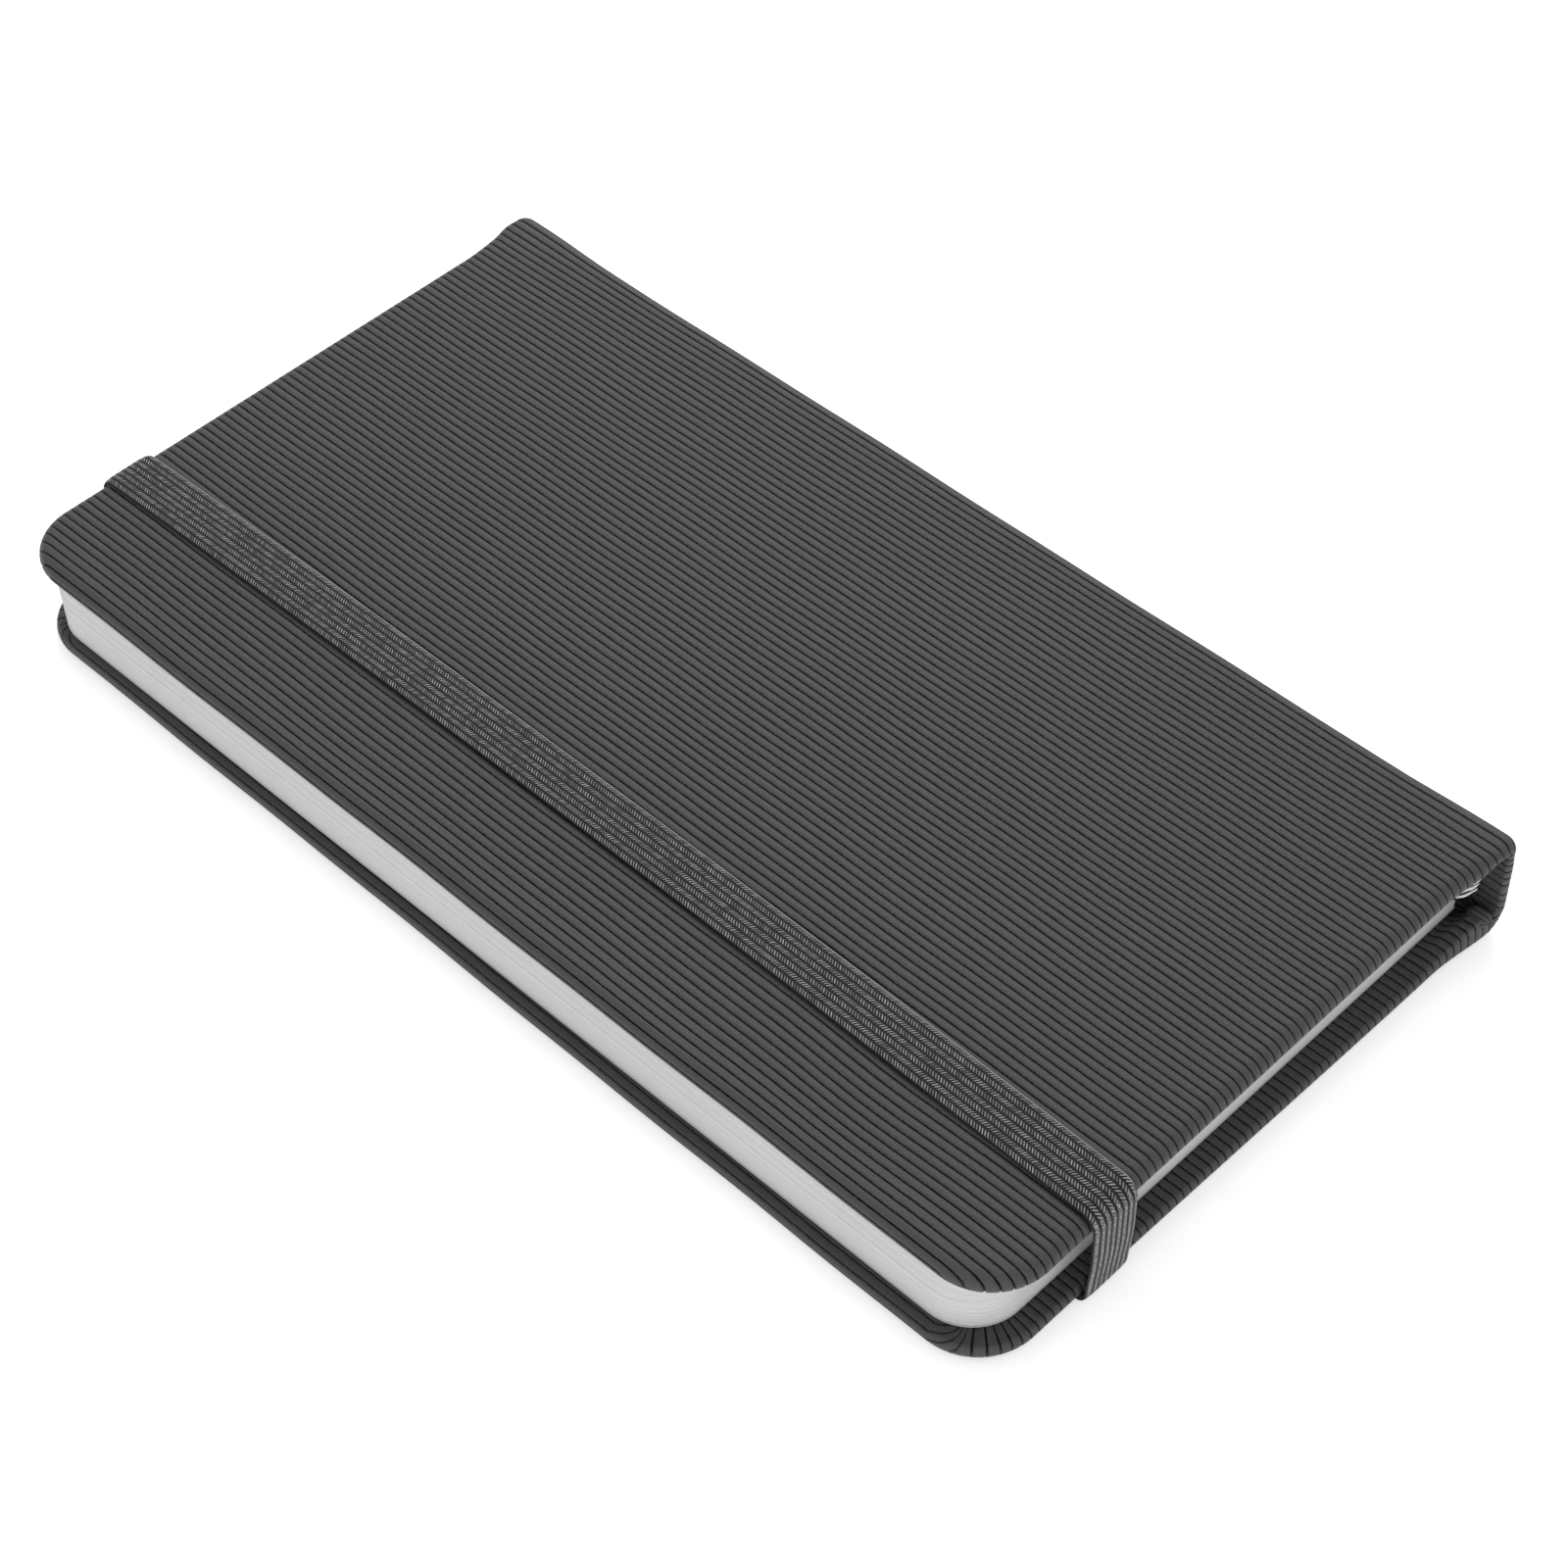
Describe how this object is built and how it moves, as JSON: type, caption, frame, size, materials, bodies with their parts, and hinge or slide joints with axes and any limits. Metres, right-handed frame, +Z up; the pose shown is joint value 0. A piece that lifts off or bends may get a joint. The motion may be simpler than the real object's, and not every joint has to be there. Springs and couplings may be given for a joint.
{
  "type": "pocket notebook",
  "caption": "Case-bound pocket notebook with a ribbed cloth cover, sewn leaves, a spine that opens flat and an elastic band that holds it shut.",
  "frame": {"origin": "middle of the underside of the closed notebook, which lies on its back cover", "axes": "+X from the spine to the fore-edge, +Y from the tail to the head, +Z up through the leaves to the front cover"},
  "size_m": [0.075, 0.1416, 0.0138],
  "materials": {
    "cover_cloth": "matt ribbed imitation leather",
    "board": "raw grey board",
    "endpaper": "matt",
    "leaves": "matt, cut edges",
    "thread": "twisted thread",
    "mull": "open-weave cotton",
    "end_band": "black and white woven",
    "elastic": "woven elastic"
  },
  "bodies": {
    "back_cover": {"back_board": "board", "back_cover_cloth": "cover_cloth", "back_endpaper": "endpaper"},
    "spine": {"spine_board": "board", "spine_cloth": "cover_cloth", "spine_lining": "endpaper", "mull": "mull", "headband": "end_band", "tailband": "end_band"},
    "front_cover": {"front_board": "board", "front_cover_cloth": "cover_cloth", "front_endpaper": "endpaper"},
    "section_1": {"section_1": "leaves", "thread_1": "thread"},
    "section_2": {"section_2": "leaves", "thread_2": "thread"},
    "section_3": {"section_3": "leaves", "thread_3": "thread"},
    "section_4": {"section_4": "leaves", "thread_4": "thread"},
    "section_5": {"section_5": "leaves", "thread_5": "thread"},
    "section_6": {"section_6": "leaves", "thread_6": "thread"},
    "elastic": {"elastic_band": "elastic"}
  },
  "joints": [
    {"name": "case_opening", "type": "hinge", "parent": "back_cover", "child": "spine", "pos_m": [-0.0372, 0, 0.0003], "axis": [0, -1, 0], "range_deg": [0, 90]},
    {"name": "front_cover_hinge", "type": "hinge", "parent": "spine", "child": "front_cover", "pos_m": [-0.0372, 0, 0.0127], "axis": [0, -1, 0], "range_deg": [0, 90]},
    {"name": "section_1_shift", "type": "slide", "parent": "front_cover", "child": "section_1", "axis": [-1, 0, 0], "range_m": [0, 0.004]},
    {"name": "section_2_shift", "type": "slide", "parent": "front_cover", "child": "section_2", "axis": [-1, 0, 0], "range_m": [0, 0.0064]},
    {"name": "section_3_shift", "type": "slide", "parent": "front_cover", "child": "section_3", "axis": [-1, 0, 0], "range_m": [0, 0.0085]},
    {"name": "section_4_shift", "type": "slide", "parent": "back_cover", "child": "section_4", "axis": [-1, 0, 0], "range_m": [0, 0.0085]},
    {"name": "section_5_shift", "type": "slide", "parent": "back_cover", "child": "section_5", "axis": [-1, 0, 0], "range_m": [0, 0.0064]},
    {"name": "section_6_shift", "type": "slide", "parent": "back_cover", "child": "section_6", "axis": [-1, 0, 0], "range_m": [0, 0.004]},
    {"name": "elastic_release", "type": "hinge", "parent": "back_cover", "child": "elastic", "pos_m": [0.022, 0, 0.00015], "axis": [0, 1, 0], "range_deg": [0, 180], "deforming": ["elastic_band"]}
  ],
  "couplings": [
    {"joint": "front_cover_hinge", "follows": "case_opening", "ratio": 1},
    {"joint": "section_1_shift", "follows": "case_opening", "m_per_rad": 0.00254},
    {"joint": "section_2_shift", "follows": "case_opening", "m_per_rad": 0.00407},
    {"joint": "section_3_shift", "follows": "case_opening", "m_per_rad": 0.0054},
    {"joint": "section_4_shift", "follows": "case_opening", "m_per_rad": 0.0054},
    {"joint": "section_5_shift", "follows": "case_opening", "m_per_rad": 0.00407},
    {"joint": "section_6_shift", "follows": "case_opening", "m_per_rad": 0.00254},
    {"joint": "elastic_release", "follows": "case_opening", "ratio": 2}
  ]
}
